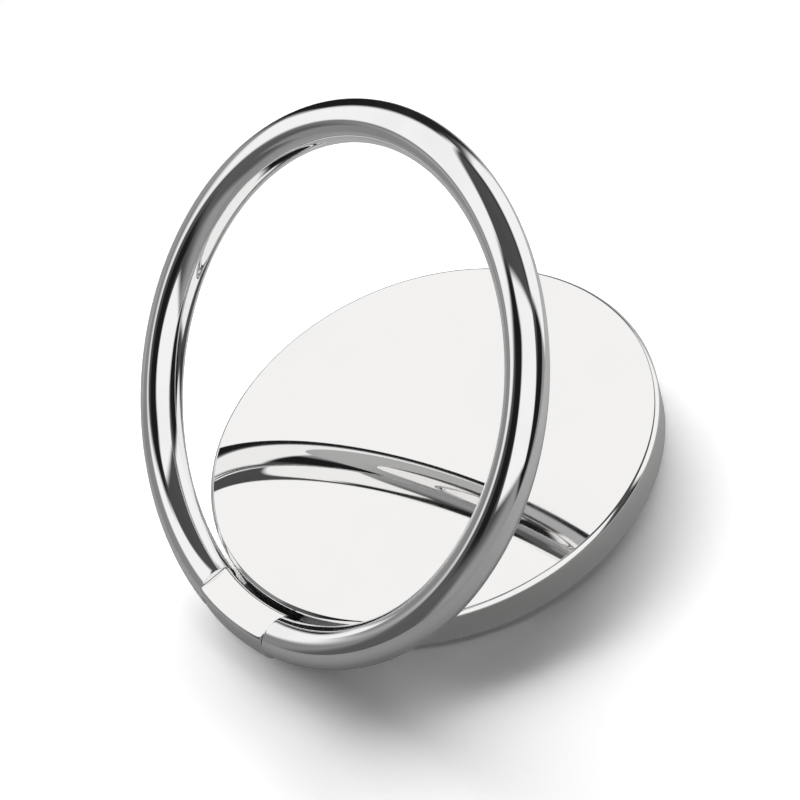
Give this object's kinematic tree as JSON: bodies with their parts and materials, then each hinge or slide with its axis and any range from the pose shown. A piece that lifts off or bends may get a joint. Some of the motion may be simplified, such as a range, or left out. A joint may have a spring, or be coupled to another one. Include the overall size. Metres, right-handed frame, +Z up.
{
  "type": "phone ring holder",
  "caption": "Mirror-polished round disc that sticks to a phone's back and swivels on its base plate, with a round-wire finger ring hinged at the rim that folds down around the disc.",
  "frame": {"origin": "centre of the adhesive face that sticks to the phone", "axes": "+Z up through the disc, away from the phone; the hinge axis lies along X on the -Y side"},
  "size_m": [0.04, 0.0367, 0.0284],
  "materials": {
    "disc_chrome": "mirror-polished plating on die-cast zinc",
    "ring_chrome": "mirror-polished plating on round wire",
    "pin_steel": "ground steel",
    "spring_steel": "oiled spring steel",
    "plate_steel": "bright pressed sheet steel",
    "glide_plastic": "natural low-friction plastic",
    "pad_adhesive": "soft tacky foam"
  },
  "bodies": {
    "base": {"swivel_plate": "plate_steel", "glide_washer": "glide_plastic", "adhesive_pad": "pad_adhesive"},
    "disc": {"mirror_disc": "disc_chrome", "friction_sleeve": "spring_steel", "swivel_rivet": "pin_steel", "spring_washer": "spring_steel"},
    "ring": {"finger_ring": "ring_chrome", "hinge_pin": "pin_steel"}
  },
  "joints": [
    {"name": "disc_swivel", "type": "hinge", "parent": "base", "child": "disc", "pos_m": [0, 0, 0], "axis": [0, 0, 1], "continuous": true},
    {"name": "ring_fold", "type": "hinge", "parent": "disc", "child": "ring", "pos_m": [0, -0.01839, 0.0017], "axis": [1, 0, 0], "range_deg": [-43, 137]}
  ]
}
